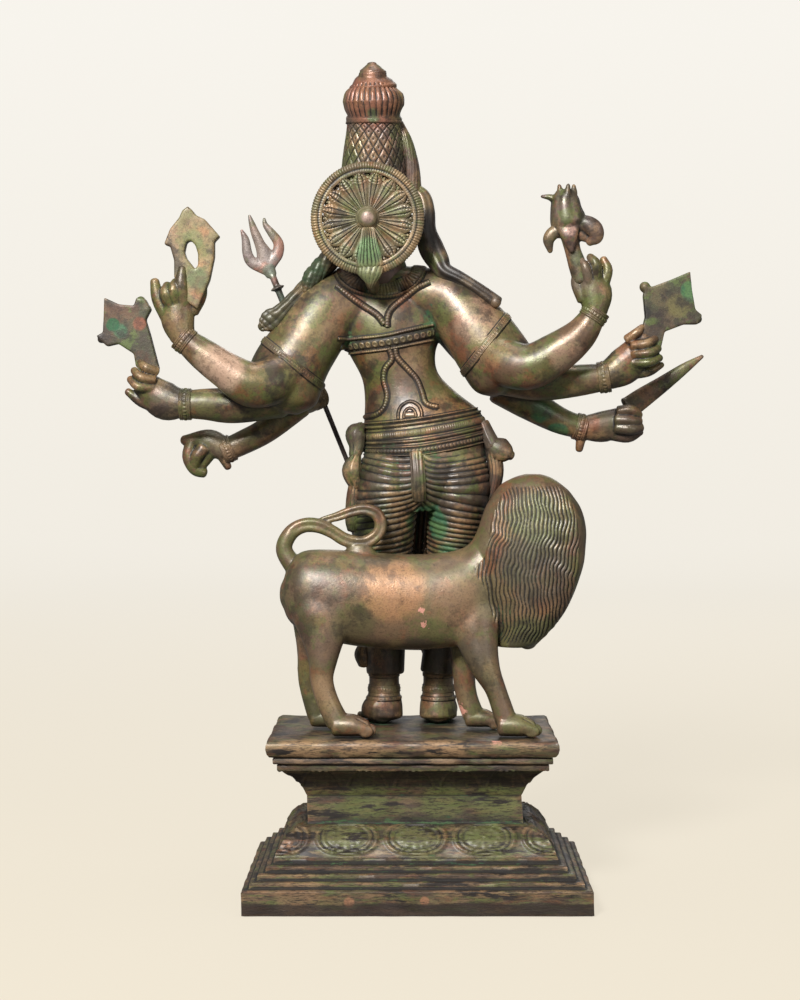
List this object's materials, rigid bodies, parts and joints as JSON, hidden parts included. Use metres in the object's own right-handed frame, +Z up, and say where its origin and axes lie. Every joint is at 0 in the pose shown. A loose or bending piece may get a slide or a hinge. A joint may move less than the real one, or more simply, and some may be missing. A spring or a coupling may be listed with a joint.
{
  "type": "durga figure",
  "caption": "Cast bronze goddess with many arms and attributes, standing beside her lion on a stepped lotus plinth, a trident resting in one fist.",
  "frame": {"origin": "centre of the plinth's underside", "axes": "+Z up; +Y the way the goddess faces; +X towards her right hand, which is the right side of the picture, taken from behind her"},
  "size_m": [0.4872, 0.186, 0.6587],
  "materials": {
    "plinth_bronze": "aged cast bronze, dark, with green verdigris in the recesses",
    "goddess_bronze": "aged cast bronze, rubbed brown on the high places, green in the folds",
    "lion_bronze": "aged cast bronze, rubbed olive brown",
    "trident_bronze": "aged cast bronze, dull"
  },
  "bodies": {
    "root": {"plinth": "plinth_bronze", "goddess": "goddess_bronze", "lion": "lion_bronze", "trident": "trident_bronze"}
  },
  "joints": []
}
